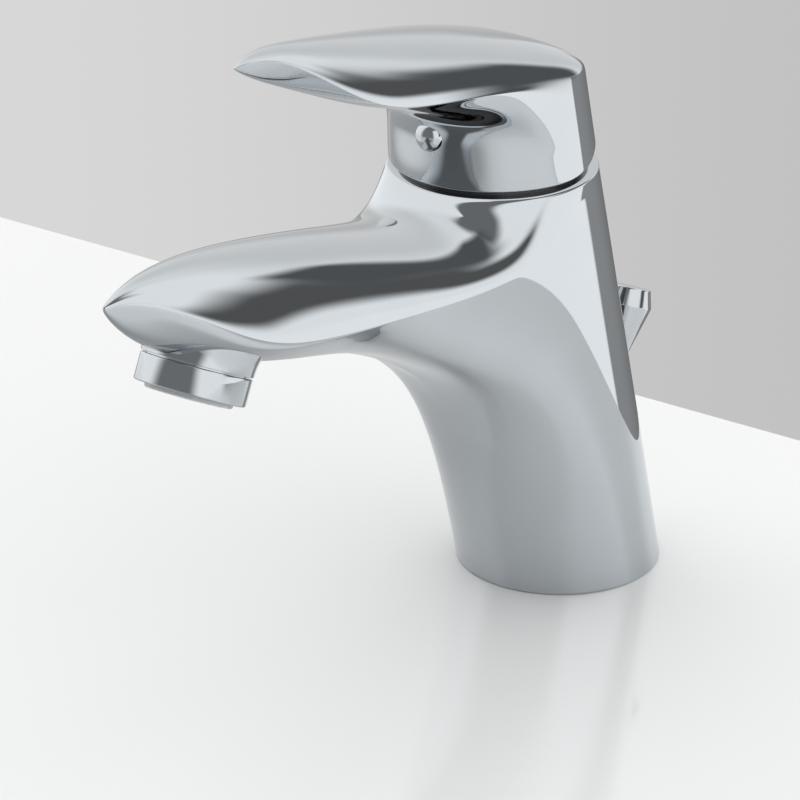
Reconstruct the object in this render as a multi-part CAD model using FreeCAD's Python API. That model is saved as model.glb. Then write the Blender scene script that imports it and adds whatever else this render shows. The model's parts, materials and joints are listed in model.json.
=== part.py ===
import FreeCAD, Part
import os
from math import sin, cos, tan, radians, sqrt, exp, pi
from bisect import bisect_right

os.makedirs("parts", exist_ok=True)
V = FreeCAD.Vector

# Single-lever basin mixer with a rear lift rod for a pop-up waste.
# Millimetres. Origin: centre of the base circle on the basin deck, +Z up, the spout points to -Y.

# ---------------------------------------------------------------- driving dimensions
BASE_R = 25.0            # foot of the column
COLLAR_R = 24.4          # top edge of the column
COLLAR_Z = 110.5         # height of that edge
AXIS_Y = -30.1           # cartridge axis, vertical, ahead of the foot because the column leans forward
TOP_Z = COLLAR_Z + 0.1   # flat top of the casting
SKIRT_Z = 112.2          # lower edge of the handle's skirt at the front
PIVOT_Z = 112.0          # tilt pin of the lever
LIFT_DEG = 17.0          # lever travel, closed to fully open
SKIRT_WALL = 2.4
ROOF_Z = 128.0           # roof of the handle's cavity
AER_TILT = 26.4          # outlet axis, degrees from plumb
AER_TOP = (0.0, -139.2, 98.6)   # centre of the outlet boss's end face
AER_R = 12.2             # visible aerator ring
SOCKET_R = 11.05         # M22 x 1 female seat in the spout
ROD_LEAN = 22.0          # lift rod leans back, degrees
ROD_KNOB = (0.0, 28.4, 56.0)    # centre of the knob's widest circle
ROD_R = 2.5
KNOB_R = 6.4
INLET_X, INLET_Y, INLET_R = 10.0, 1.6, 5.0      # M10 x 1 hose tails
STUD_X, STUD_Y, STUD_R = 11.0, -9.0, 2.95       # M6 fixing studs
CAVITY_Y, CAVITY_R, CAVITY_Z = -3.0, 16.5, 30.0 # open foot of the casting
DECK_T = 18.0            # basin deck the clamp is drawn for
CHAMBER_R, CHAMBER_Z = 17.75, 78.0              # seat of the 35 mm cartridge
NUT_BORE_R, NUT_Z = 19.2, 104.0
INDEX_Z, INDEX_R = 124.3, 3.35
RING_R = 22.0            # slip ring in the groove between column and handle


def pchip(xs, ys):
    n = len(xs)
    h = [xs[i + 1] - xs[i] for i in range(n - 1)]
    d = [(ys[i + 1] - ys[i]) / h[i] for i in range(n - 1)]
    m = [0.0] * n
    for i in range(1, n - 1):
        if d[i - 1] * d[i] > 0:
            w1 = 2 * h[i] + h[i - 1]
            w2 = h[i] + 2 * h[i - 1]
            m[i] = (w1 + w2) / (w1 / d[i - 1] + w2 / d[i])
    m[0] = d[0]
    m[-1] = d[-1]

    def f(x):
        if x <= xs[0]:
            return ys[0] + m[0] * (x - xs[0])
        if x >= xs[-1]:
            return ys[-1] + m[-1] * (x - xs[-1])
        i = bisect_right(xs, x) - 1
        t = (x - xs[i]) / h[i]
        return ((1 + 2 * t) * (1 - t) ** 2 * ys[i] + t * (1 - t) ** 2 * h[i] * m[i]
                + t * t * (3 - 2 * t) * ys[i + 1] + t * t * (t - 1) * h[i] * m[i + 1])
    return f


def smooth(a, b, x):
    t = min(1.0, max(0.0, (x - a) / (b - a)))
    return t * t * (3 - 2 * t)


def swell(ph, j):
    # pole radius that makes a cubic ring pass through the wanted circle
    a = ph[j - 1] if j > 0 else -ph[1]
    b = ph[j + 1] if j + 1 < len(ph) else 360 - ph[j - 1]
    return 1 + radians((b - a) / 2) ** 2 / 6


def mirror(cols):
    n = len(cols)
    out = [list(c) for c in cols]
    for j in range(n - 2, 0, -1):
        out.append([(-x, y, z) for x, y, z in cols[j]])
    return out


# ---------------------------------------------------------------- skin of the casting
# Columns run from the foot up the column, out along the spout's underside to the lip, and back
# over the top to the collar; the lip is a tight row, so it is a small rounded edge that fades
# into the column's sides.
LEAN = -AXIS_Y / COLLAR_Z
BPH = [0, 3, 6, 10, 14.5, 19.5, 25, 31, 38, 46, 55, 65, 76, 88, 101, 114.5, 128, 141.5, 154.5, 167.5, 180]
BLIP = [(0, -171.0, 121.1), (1.5, -166.6, 120.9), (4.3, -160.6, 119.0), (8.0, -154.4, 115.8),
        (11.6, -147.2, 110.8), (14.8, -140.0, 106.0), (17.5, -130.6, 103.0), (18.9, -116.6, 100.8),
        (19.5, -98.5, 98.4), (20.3, -79.5, 96.0), (21.5, -62, 94.5), (22.7, -49.8, 95.1),
        (23.8, -40.5, 99.6), (24.4, -33.0, 105.2)]
BK = [1] * 11 + [.96, .75, .35] + [0] * 10
BMID = [(-25, 0.6), (-25.6, 3), (-30.9, 20), (-36.6, 36), (-43.8, 50.2), (-53.2, 62.0), (-63.8, 70.6),
        (-75.8, 77.8), (-89, 83.9), (-103, 88.6), (-119, 92.8), (-136.5, 98.6), (-153.4, 105.8),
        (-164.4, 114.2), (-169.6, 119.6), (-171.0, 121.1)]
BZB = [0.6, 3, 20, 36, 50, 60, 68, 75, 81, 86.5, 91.5, 96, 100, 103.4, 106, 108]
BTOP = [-169.8, -164.5, -156, -143, -125, -105, -87, -72.5, -62.5, -56.8]
BZT = [108.25, 108.5, 108.7, 108.9, 109.1, 109.25, 109.4, 109.55, 109.7, 109.85]
NECK_L = 5.2
_ys = [p[1] for p in BLIP] + [-25, -10]
bw = pchip(_ys, [p[0] for p in BLIP] + [24.4, 24.4])
bze = pchip(_ys, [p[2] for p in BLIP] + [108, 108])
bzt = pchip([-171.0, -165, -158, -148, -138, -124, -108, -92, -78, -66, -58, -40],
            [121.1, 122.9, 123.8, 123.8, 122.9, 120.6, 117.3, 113.6, 110.0, 107.0, 105.4, 103.5])


def brad(z):
    return BASE_R + (COLLAR_R - BASE_R) * z / COLLAR_Z


def bcol(phi, z, s=1.0):
    r = brad(z) * s
    return (r * sin(phi), -LEAN * z - r * cos(phi), z)


_bd = [max(0.0, (-LEAN * z - brad(z)) - y) for y, z in BMID]
bzm = pchip([_bd[0] - 1e-3] + _bd[1:], [z for y, z in BMID])


def body_net():
    cols = []
    D0 = _bd[-1]
    for j, ph in enumerate(BPH):
        p = radians(ph)
        k = BK[j]
        s = swell(BPH, j)
        E = BLIP[j] if j < len(BLIP) else bcol(p, 108.0, s)
        cE = bcol(p, E[2], s)
        D = max(cE[1] - E[1], 1e-6)
        rho = min(1, D / D0)
        b0 = bcol(p, 0, s)
        rows = [(b0[0] * (1 - 0.7 / BASE_R), b0[1] * (1 - 0.7 / BASE_R), 0.0), b0]
        n = len(BMID)
        for r in range(n):
            yM, zM = BMID[r]
            q = _bd[r] / D0
            h = 1 - (1 - q) ** (1 / max(rho, 0.02) ** 0.85)
            if r == n - 1:
                rows.append(E)
                continue
            dj = D * h
            zf = zM if r < 3 else max(bzm(dj), 0)
            c0 = bcol(p, zf, s)
            xf = c0[0] + (E[0] - cE[0]) * h
            yf = c0[1] - dj
            zh = zf + (E[2] - bzm(D)) * h ** 2.2
            zq = zf + (bze(yf) - zf) * min(1.0, abs(xf) / max(bw(yf), 1e-6)) ** 2.2
            m = smooth(-72, -105, yf)
            zf = zh * (1 - m) + zq * m
            if m < 1:
                c0 = bcol(p, zf, s)
                xf = (c0[0] + (E[0] - cE[0]) * h) * (1 - m) + xf * m
                yf = (c0[1] - dj) * (1 - m) + yf * m
            zb = BZB[r] * E[2] / 108.0
            g = smooth(0.05, 1, zb / E[2])
            c1 = bcol(p, zb, s)
            xb = c1[0] + (E[0] - cE[0]) * g
            yb = c1[1] - D * g
            rows.append((k * xf + (1 - k) * xb, k * yf + (1 - k) * yb, k * zf + (1 - k) * zb))
        C = bcol(p, COLLAR_Z, s)
        dE = sqrt((E[0] - C[0]) ** 2 + (E[1] - C[1]) ** 2)
        ccE = exp(-(dE / NECK_L) ** 1.1)
        yfr = AXIS_Y - COLLAR_R
        for i, yt in enumerate(BTOP):
            q0 = (yt - BLIP[0][1]) / (yfr - BLIP[0][1])
            x = E[0] + (C[0] - E[0]) * q0
            y = E[1] + (C[1] - E[1]) * q0
            qq = min(1.0, abs(x) / max(bw(y), 1e-6))
            z1 = bze(y) + (bzt(y) - bze(y)) * (1 - qq ** 2.2) ** (1 / 1.7)
            cc = (exp(-(dE * (1 - q0) / NECK_L) ** 1.1) - ccE) / max(1 - ccE, 1e-3)
            if dE < 12:
                z1 = E[2] + (z1 - E[2]) * smooth(2, 12, dE)
            zf = z1 + (COLLAR_Z - z1) * cc
            zb = E[2] + (BZT[i] - 108) / (COLLAR_Z - 108) * (COLLAR_Z - E[2])
            fb = (zb - E[2]) / (COLLAR_Z - E[2])
            xb = E[0] + (C[0] - E[0]) * fb
            yb = E[1] + (C[1] - E[1]) * fb
            rows.append((k * x + (1 - k) * xb, k * y + (1 - k) * yb, k * zf + (1 - k) * zb))
        e = bcol(p, COLLAR_Z, s)
        rows.append((e[0], e[1], TOP_Z))
        f = 1 - 0.8 / COLLAR_R
        rows.append((e[0] * f, AXIS_Y + (e[1] - AXIS_Y) * f, TOP_Z))
        cols.append(rows)
    return cols


# ---------------------------------------------------------------- skin of the handle
HPH = [0, 4, 8, 13, 18, 24, 31, 39, 48, 58, 70, 84, 98, 112, 126, 140, 153.5, 167, 180]
HLIP = [(0, -127.0, 159.5), (1.5, -121.2, 160.7), (3.7, -115.0, 159.7), (6.7, -109.9, 156.9),
        (10.2, -104.2, 152.6), (13.6, -97.4, 147.6), (16.5, -89.4, 144.3), (18.6, -78.6, 142.3),
        (20.1, -66.4, 140.8), (21.2, -53.5, 139.3)]
HMID = [(-54.3, 115), (-54.6, 118.5), (-54.9, 122), (-55.3, 125.2), (-57.2, 128.9), (-62, 132.3),
        (-69.5, 135.2), (-78.5, 138.3), (-88.5, 142.0), (-99, 146.8), (-109, 151.2), (-118, 155.2),
        (-124.0, 157.9), (-126.5, 159.0), (-127.0, 159.5)]
HTF = [.012, .05, .12, .22, .35, .50, .66, .82, .94, 1.0]
HPOLE = -52.0


def hc(z):
    return AXIS_Y - 0.125 * (z - 114)


def hr(z):
    return 23.85 - 0.08 * (z - 114)


def hcol(phi, z, s=1.0):
    r = hr(z) * s
    return (r * sin(phi), hc(z) - r * cos(phi), z)


def hlipz(y):
    return 139.3 + (y + 53.5) * (-0.152)


def hbot(yp):
    # lower edge of the skirt: level ahead of the swivel axis, rising behind it so that the
    # skirt clears the trim ring when the lever is lifted
    a = tan(radians(LIFT_DEG)) * yp - 0.3
    return SKIRT_Z + 0.5 * (a + sqrt(a * a + 0.25))


_hy = [p[1] for p in HLIP]
hw = pchip(_hy + [-41.5, -33, -28, -24, -20, -16, -12.8, -10.9, -10.3],
           [p[0] for p in HLIP] + [21.9, 22.1, 21.7, 20.6, 18.6, 15.4, 10.9, 5.4, 0.001])
hze = pchip(_hy + [-10.3], [p[2] for p in HLIP] + [hlipz(-10.3)])
hzt = pchip([-127.0, -121.5, -113, -102, -92, -80, -67, -50, -36, -26, -18, -13, -10.3],
            [159.5, 161.1, 161.1, 159.4, 157.5, 155.0, 152.2, 148.2, 144.3, 141.2, 137.8, 134.9, hlipz(-10.3)])


def handle_net(foot):
    cols = []
    hd = [max(0.0, (hc(z) - hr(z)) - y) for y, z in HMID]
    D0 = hd[-1]
    zm = pchip([hd[0] - 4e-3] + [max(d, hd[0] + 1e-4 * i) for i, d in enumerate(hd)][1:], [z for y, z in HMID])
    n = len(HMID)
    for j, ph in enumerate(HPH):
        p = radians(ph)
        s = swell(HPH, j)
        if j < len(HLIP):
            E = HLIP[j]
        elif j == len(HLIP):
            E = (21.9, -42.0, hlipz(-42.0))
        else:
            zz = 136.0
            for _ in range(6):
                E = hcol(p, zz, s)
                zz = hlipz(E[1])
        cE = hcol(p, E[2], s)
        D = max(cE[1] - E[1], 1e-6)
        rho = min(1, D / D0)
        zb0 = hbot(hcol(p, SKIRT_Z, s)[1] - AXIS_Y)
        rows = [hcol(p, foot, s), hcol(p, foot + 2.5, s), hcol(p, foot + 5.0, s)]
        k = 1 - smooth(52, 76, ph)
        for r in range(n):
            if r == n - 1:
                rows.append(E)
                continue
            yM, zM = HMID[r]
            q = hd[r] / D0
            h = 1 - (1 - q) ** (1 / max(rho, 0.03) ** 0.85)
            dj = D * h
            zf = zM if r < 4 else zm(dj)
            c0 = hcol(p, zf, s)
            xf = c0[0] + (E[0] - cE[0]) * h
            yf = c0[1] - dj
            zh = zf + (E[2] - zm(D)) * h ** 2.2
            zq = zf + (hze(yf) - zf) * min(1.0, abs(xf) / max(hw(yf), 1e-6)) ** 2.2
            m = smooth(-62, -80, yf)
            zf = zh * (1 - m) + zq * m
            fr = (r + 1) / n
            zb = zb0 + 0.45 + (E[2] - zb0 - 0.45) * fr
            c1 = hcol(p, zb, s)
            g = smooth(0.3, 1, fr)
            xb = c1[0] + (E[0] - cE[0]) * g
            yb = c1[1] - D * g
            rows.append((k * xf + (1 - k) * xb, k * yf + (1 - k) * yb, k * zf + (1 - k) * zb))
        for f in HTF:
            x = E[0] * (1 - f)
            y = E[1] + (HPOLE - E[1]) * f
            qq = min(1.0, abs(x) / max(hw(y), 1e-6))
            z = hze(y) + (hzt(y) - hze(y)) * (1 - qq ** 2.2) ** (1 / 1.8)
            rows.append((x, y, z))
        cols.append(rows)
    return cols


# ---------------------------------------------------------------- shape helpers
def skin(cols):
    P = [[V(*q) for q in c] for c in mirror(cols)]
    nu, nv = len(P), len(P[0])
    s = Part.BSplineSurface()
    s.buildFromPolesMultsKnots(P, [1] * (nu + 1), [4] + [1] * (nv - 4) + [4],
                               [float(i) for i in range(nu + 1)], [float(i) for i in range(nv - 2)],
                               True, False, 3, 3)
    return s.toShape()


def closed(face, levels):
    faces = [face]
    for z in levels:
        e = [q for q in face.Edges if not q.Degenerated and abs(q.BoundBox.ZMin - z) < 1e-3 and abs(q.BoundBox.ZMax - z) < 1e-3]
        faces.append(Part.Face(Part.Wire(e)))
    sh = Part.makeCompound(faces)
    sh.sewShape()
    so = Part.makeSolid(sh.Shells[0])
    so.fix(1e-6, 1e-6, 1e-6)
    return so


def cyl(r, p0, p1):
    a, b = V(*p0), V(*p1)
    return Part.makeCylinder(r, (b - a).Length, a, b - a)


def tube(ro, ri, p0, p1):
    return cyl(ro, p0, p1).cut(cyl(ri, p0, p1))


def revolve(profile, origin, axis):
    # profile: (radius, station) along the axis
    ax = V(*axis)
    ax.normalize()
    o = V(*origin)
    t = V(1, 0, 0)
    pts = [o + ax * s + t * r for r, s in profile]
    w = Part.makePolygon(pts + [pts[0]])
    return Part.Face(w).revolve(o, ax, 360)


def box(x0, x1, y0, y1, z0, z1):
    return Part.makeBox(x1 - x0, y1 - y0, z1 - z0, V(x0, y0, z0))


def hexprism(af, z0, z1, x, y):
    R = af / 2 / cos(pi / 6)
    pts = [V(x + R * cos(pi / 3 * i), y + R * sin(pi / 3 * i), z0) for i in range(6)]
    return Part.Face(Part.makePolygon(pts + [pts[0]])).extrude(V(0, 0, z1 - z0))


def save(name, shape):
    shape.exportStep("parts/%s.step" % name)
    bb = shape.BoundBox
    print("%-18s valid %s solids %d vol %.0f  x %.1f..%.1f y %.1f..%.1f z %.1f..%.1f" % (
        name, shape.isValid(), len(shape.Solids), shape.Volume, bb.XMin, bb.XMax, bb.YMin, bb.YMax, bb.ZMin, bb.ZMax))


AD = (0.0, -sin(radians(AER_TILT)), -cos(radians(AER_TILT)))      # water leaves along this


def aer(s):
    return tuple(AER_TOP[i] + AD[i] * s for i in range(3))


RU = (0.0, sin(radians(ROD_LEAN)), cos(radians(ROD_LEAN)))        # lift direction


def rod(s):
    return tuple(ROD_KNOB[i] + RU[i] * s for i in range(3))


half = radians(LIFT_DEG / 2)


def stem(s):
    # point on the spindle's axis, s above the tilt pin, lever closed
    return (0.0, AXIS_Y - s * sin(half), PIVOT_Z + s * cos(half))


def ca(x, y, z):
    return (x, AXIS_Y + y, z)


# ---------------------------------------------------------------- casting
body = closed(skin(body_net()), [0.0, TOP_Z])
boss = revolve([(0, 0), (12.3, 0), (12.35, -1.2), (12.5, -2.4), (12.75, -3.6), (13.0, -4.8), (13.0, -6.0), (0, -6.0)], AER_TOP, AD)
body = body.fuse(boss)
cuts = [
    cyl(CAVITY_R, (0, CAVITY_Y, -1), (0, CAVITY_Y, CAVITY_Z)),
    cyl(CHAMBER_R, ca(0, 0, CHAMBER_Z), ca(0, 0, TOP_Z + 1)),
    cyl(NUT_BORE_R, ca(0, 0, NUT_Z), ca(0, 0, TOP_Z + 1)),
    cyl(SOCKET_R, aer(1), aer(-10.2)),
    cyl(4.0, (0, AXIS_Y - 7.5, CHAMBER_Z + 1), (0, AXIS_Y - 7.5, 66.0)),
    cyl(4.0, (0, AXIS_Y - 7.5, 66.0), (0, -66.0, 84.0)),
    cyl(4.0, (0, -66.0, 84.0), (0, -131.5, 105.4)),
    Part.makeSphere(4.0, V(0, AXIS_Y - 7.5, 66.0)),
    Part.makeSphere(4.0, V(0, -66.0, 84.0)),
    cyl(ROD_R + 0.95, rod(-20), rod(-52)),
    tube(23.2, 20.6, (0, 0, -1), (0, 0, 1.3)),
]
for sx in (-1, 1):
    cuts += [
        cyl(INLET_R, (sx * INLET_X, INLET_Y, CAVITY_Z - 1), (sx * INLET_X, INLET_Y, CAVITY_Z + 12)),
        cyl(3.2, (sx * INLET_X, INLET_Y, CAVITY_Z + 11), (sx * 6.5, AXIS_Y + 4.5, CHAMBER_Z + 1)),
        cyl(STUD_R + 0.05, (sx * STUD_X, STUD_Y, CAVITY_Z - 1), (sx * STUD_X, STUD_Y, CAVITY_Z + 14)),
        cyl(1.5, ca(sx * 12.5, -6, CHAMBER_Z + 1), ca(sx * 12.5, -6, CHAMBER_Z - 3)),
    ]
for c in cuts:
    body = body.cut(c)
save("body_casting", body)

save("base_gasket", tube(23.15, 20.65, (0, 0, 0), (0, 0, 1.25)))

# ---------------------------------------------------------------- cartridge stack
ring = revolve([(14.2, TOP_Z), (RING_R, TOP_Z), (RING_R, 111.35), (RING_R - 0.25, 111.6), (14.2, 111.6)], (0, AXIS_Y, 0), (0, 0, 1))
save("trim_ring", ring)

nut = tube(19.0, 13.9, ca(0, 0, NUT_Z), ca(0, 0, 110.3))
for i in range(6):
    a = pi / 3 * i
    b = box(12, 20, -2.2, 2.2, 107.6, 111)
    b.rotate(V(0, 0, 0), V(0, 0, 1), 60 * i)
    b.translate(V(0, AXIS_Y, 0))
    nut = nut.cut(b)
save("cartridge_nut", nut)

housing = cyl(17.5, ca(0, 0, 82), ca(0, 0, NUT_Z)).fuse(cyl(13.6, ca(0, 0, 82), ca(0, 0, 117.5)))
housing = housing.cut(cyl(13.2, ca(0, 0, 81), ca(0, 0, 97.2))).cut(cyl(11.08, ca(0, 0, 90), ca(0, 0, 120)))
save("cartridge_housing", housing.removeSplitter())

ports = [(-6.5, 4.5, 3.2), (6.5, 4.5, 3.2), (0, -7.5, 3.6)]
plate = cyl(17.4, ca(0, 0, 78.8), ca(0, 0, 82))
for sx in (-1, 1):
    plate = plate.fuse(cyl(1.4, ca(sx * 12.5, -6, 76), ca(sx * 12.5, -6, 79)))
fixed = cyl(13.0, ca(0, 0, 82), ca(0, 0, 86.2))
seals = []
for x, y, r in ports:
    plate = plate.cut(cyl(r, ca(x, y, 78), ca(x, y, 83)))
    fixed = fixed.cut(cyl(r, ca(x, y, 81), ca(x, y, 87)))
    seals.append(tube(r + 2.0, r + 0.1, ca(x, y, 78), ca(x, y, 78.8)))
save("cartridge_base", plate.removeSplitter())
save("cartridge_seals", Part.makeCompound(seals))
save("fixed_disc", fixed)

BALL = 21.8                                # pin to ball end of the spindle
yd = BALL * sin(half)                      # moving disc is this far back when closed
disc = cyl(9.4, ca(0, yd, 86.2), ca(0, yd, 90.8))
disc = disc.cut(cyl(3.15, ca(0, yd, 87.0), ca(0, yd, 92))).cut(cyl(6.2, ca(0, yd, 85), ca(0, yd, 86.7)))
save("moving_disc", disc)

car = cyl(11.0, ca(0, 0, 92), ca(0, 0, 118)).fuse(cyl(12.9, ca(0, 0, 92), ca(0, 0, 97)))
car = car.cut(box(-4.35, 4.35, AXIS_Y - 7.0, AXIS_Y + 7.0, 90, 120))
car = car.cut(cyl(1.52, ca(-15, 0, PIVOT_Z), ca(15, 0, PIVOT_Z)))
save("stem_carrier", car.removeSplitter())
save("pivot_pin", cyl(1.5, ca(-10.4, 0, PIVOT_Z), ca(10.4, 0, PIVOT_Z)))

sq = box(-4.0, 4.0, -4.0, 4.0, -4.0, 17.5)
st = sq.fuse(Part.makeCylinder(3.0, 17.5, V(0, 0, -20.5))).fuse(Part.makeSphere(2.8, V(0, 0, -BALL)))
st = st.cut(Part.makeCylinder(1.56, 20, V(-10, 0, 0), V(1, 0, 0)))
st.rotate(V(0, 0, 0), V(1, 0, 0), LIFT_DEG / 2)
st.translate(V(0, AXIS_Y, PIVOT_Z))
save("valve_stem", st.removeSplitter())

# ---------------------------------------------------------------- handle
FOOT = 104.0
han = closed(skin(handle_net(FOOT)), [FOOT])
ys = [-60, -50, -42] + [-36 + 2.0 * i for i in range(21)]
prof = [V(-40, y, hbot(y - AXIS_Y)) for y in ys]
bs = Part.BSplineCurve()
bs.interpolate(prof)
lo = [V(-40, ys[-1], FOOT - 3), V(-40, ys[0], FOOT - 3)]
w = Part.Wire([bs.toShape(), Part.makeLine(prof[-1], lo[0]), Part.makeLine(lo[0], lo[1]), Part.makeLine(lo[1], prof[0])])
han = han.cut(Part.Face(w).extrude(V(80, 0, 0)))


def ringwire(z, r):
    return Part.Wire(Part.makeCircle(r, V(0, hc(z), z)))


hollow = Part.makeLoft([ringwire(FOOT - 2, hr(FOOT - 2) - SKIRT_WALL), ringwire(ROOF_Z, hr(ROOF_Z) - SKIRT_WALL)], True, True)
han = han.cut(hollow)
hub = cyl(9.0, stem(10.0), stem(17.5))
han = han.fuse(hub)
so = box(-4.05, 4.05, -4.05, 4.05, 0, 18.0)
so.rotate(V(0, 0, 0), V(1, 0, 0), LIFT_DEG / 2)
so.translate(V(0, AXIS_Y, PIVOT_Z))
han = han.cut(so)
han = han.cut(cyl(2.5, (0, AXIS_Y - 14, INDEX_Z), (0, AXIS_Y - 3, INDEX_Z)))
han = han.cut(cyl(INDEX_R + 0.05, (0, -62, INDEX_Z), (0, -46, INDEX_Z)))
save("lever_handle", han)

grub = revolve([(0, 0), (2.0, 0), (2.45, 0.5), (2.45, 4.6), (0, 4.6)], (0, AXIS_Y - 6.45, INDEX_Z), (0, -1, 0))
hexs = hexprism(2.5, 0, 3, 0, 0)
hexs.rotate(V(0, 0, 0), V(1, 0, 0), 90)
hexs.translate(V(0, AXIS_Y - 6.45 - 2.2, INDEX_Z))
grub = grub.cut(hexs)
save("grub_screw", grub)

dome = [(INDEX_R * sin(radians(a)), 2.5 * (1 - cos(radians(a)))) for a in (0, 15, 30, 45, 60, 75, 90)]
plug = revolve([(0, 6.4), (0.0, 0.0)] + dome[1:] + [(INDEX_R, 6.4)], (0, -57.7, INDEX_Z), (0, 1, 0))
save("index_plug", plug)

# ---------------------------------------------------------------- outlet
ahead = revolve([(9.25, -7.0), (10.9, -7.0), (10.9, 0.3), (11.9, 0.35), (AER_R, 0.6), (AER_R, 6.2), (12.0, 6.45), (9.85, 6.45), (9.85, 3.0), (9.25, 3.0)], AER_TOP, AD)
save("aerator_housing", ahead)
ins = revolve([(0, -6.5), (9.15, -6.5), (9.15, 3.1), (9.65, 3.1), (9.65, 7.2), (9.4, 7.45), (0, 7.45)], AER_TOP, AD)
core = revolve([(0, -8), (7.6, -8), (7.6, 4.6), (0, 4.6)], AER_TOP, AD)
ins = ins.cut(core)
holes = []
pitch = 3.1
for i in range(-3, 4):
    for k in range(-3, 4):
        hx = pitch * (i + 0.5 * k)
        hy = pitch * 0.866 * k
        if hx * hx + hy * hy < 7.3 ** 2:
            holes.append((hx, hy))
E2 = (0.0, AD[2], -AD[1])
for hx, hy in holes:
    a = tuple(aer(3)[i] + (hx if i == 0 else 0) + E2[i] * hy for i in range(3))
    b = tuple(aer(9)[i] + (hx if i == 0 else 0) + E2[i] * hy for i in range(3))
    ins = ins.cut(cyl(1.15, a, b))
save("aerator_insert", ins)
save("aerator_gasket", revolve([(7.4, -9.4), (10.8, -9.4), (10.8, -7.0), (7.4, -7.0)], AER_TOP, AD))

# ---------------------------------------------------------------- lift rod
knob = revolve([(0, 4.55), (4.9, 4.4), (5.4, 4.05), (6.35, 0.25), (KNOB_R, 0.0), (6.3, -0.35), (2.95, -13.0), (0, -13.0)], ROD_KNOB, RU)
knob = knob.cut(cyl(ROD_R, rod(-14), rod(-3)))
save("lift_knob", knob)
save("lift_rod", cyl(ROD_R, rod(-98), rod(-3)))
save("rod_bush", tube(ROD_R + 0.9, ROD_R + 0.05, rod(-43.5), rod(-34.8)))
# small block on the rod's foot; a waste's horizontal rod goes through its cross hole, along Y
clamp = cyl(5.0, rod(-108.5), rod(-93)).cut(cyl(ROD_R, rod(-98), rod(-92)))
cross = rod(-103)
clamp = clamp.cut(cyl(2.1, (0, cross[1] - 9, cross[2]), (0, cross[1] + 9, cross[2])))
N = (0.0, RU[2], -RU[1])


def off(s, d):
    return tuple(rod(s)[i] + N[i] * d for i in range(3))


clamp = clamp.cut(cyl(1.7, off(-95.5, 2.0), off(-95.5, 6))).cut(cyl(1.7, rod(-109), rod(-103)))
save("link_clamp", clamp)
s1 = cyl(1.68, off(-95.5, 2.55), off(-95.5, 5.0)).fuse(cyl(2.8, off(-95.5, 5.0), off(-95.5, 7.2)))
s1 = s1.cut(box(-0.5, 0.5, -30, 30, -90, 0).common(cyl(2.8, off(-95.5, 6.3), off(-95.5, 7.3))))
s2 = cyl(1.68, rod(-108.5), rod(-106.3)).fuse(cyl(2.8, rod(-110.7), rod(-108.5)))
s2 = s2.cut(box(-0.5, 0.5, -30, 30, -90, 0).common(cyl(2.8, rod(-110.8), rod(-109.8))))
save("link_screws", Part.makeCompound([s1.removeSplitter(), s2.removeSplitter()]))

# ---------------------------------------------------------------- deck clamp
studs, nuts = [], []
gz = -DECK_T
for sx in (-1, 1):
    studs.append(cyl(STUD_R, (sx * STUD_X, STUD_Y, -46), (sx * STUD_X, STUD_Y, CAVITY_Z + 13)))
    n = hexprism(10.0, gz - 10.5, gz - 5.5, sx * STUD_X, STUD_Y)
    nuts.append(n.cut(cyl(STUD_R + 0.03, (sx * STUD_X, STUD_Y, gz - 12), (sx * STUD_X, STUD_Y, gz - 4))))
save("mounting_studs", Part.makeCompound(studs))
save("stud_nuts", Part.makeCompound(nuts))


def shoe(z0, z1, r):
    s = cyl(r, (0, 0, z0), (0, 0, z1))
    s = s.cut(box(-6.8, 6.8, -11, 40, z0 - 1, z1 + 1)).cut(box(-17.4, 17.4, -4.6, 40, z0 - 1, z1 + 1))
    for sx in (-1, 1):
        s = s.cut(cyl(STUD_R + 0.25, (sx * STUD_X, STUD_Y, z0 - 1), (sx * STUD_X, STUD_Y, z1 + 1)))
    return s


save("deck_gasket", shoe(gz - 3.0, gz, 24.5))
save("clamp_plate", shoe(gz - 5.5, gz - 3.0, 24.2))
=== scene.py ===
import json
from math import sin, cos, tan, radians, sqrt, exp, floor, pi
from bisect import bisect_right
import bpy
import numpy as np
from mathutils import Matrix, Vector


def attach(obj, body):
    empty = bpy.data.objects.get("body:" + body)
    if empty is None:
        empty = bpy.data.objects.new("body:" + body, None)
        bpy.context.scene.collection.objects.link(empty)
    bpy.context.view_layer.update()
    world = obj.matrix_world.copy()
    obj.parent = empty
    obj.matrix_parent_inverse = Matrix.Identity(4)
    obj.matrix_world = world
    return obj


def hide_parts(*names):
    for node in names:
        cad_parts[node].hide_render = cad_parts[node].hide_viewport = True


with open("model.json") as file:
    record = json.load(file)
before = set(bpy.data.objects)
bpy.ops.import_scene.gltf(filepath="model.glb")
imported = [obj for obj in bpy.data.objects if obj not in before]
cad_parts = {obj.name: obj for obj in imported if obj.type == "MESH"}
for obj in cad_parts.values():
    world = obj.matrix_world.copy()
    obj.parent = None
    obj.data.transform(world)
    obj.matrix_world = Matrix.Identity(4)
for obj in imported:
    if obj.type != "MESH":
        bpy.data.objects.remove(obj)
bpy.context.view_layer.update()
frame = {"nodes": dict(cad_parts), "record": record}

scene = bpy.context.scene
nodes = frame["nodes"]

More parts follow.
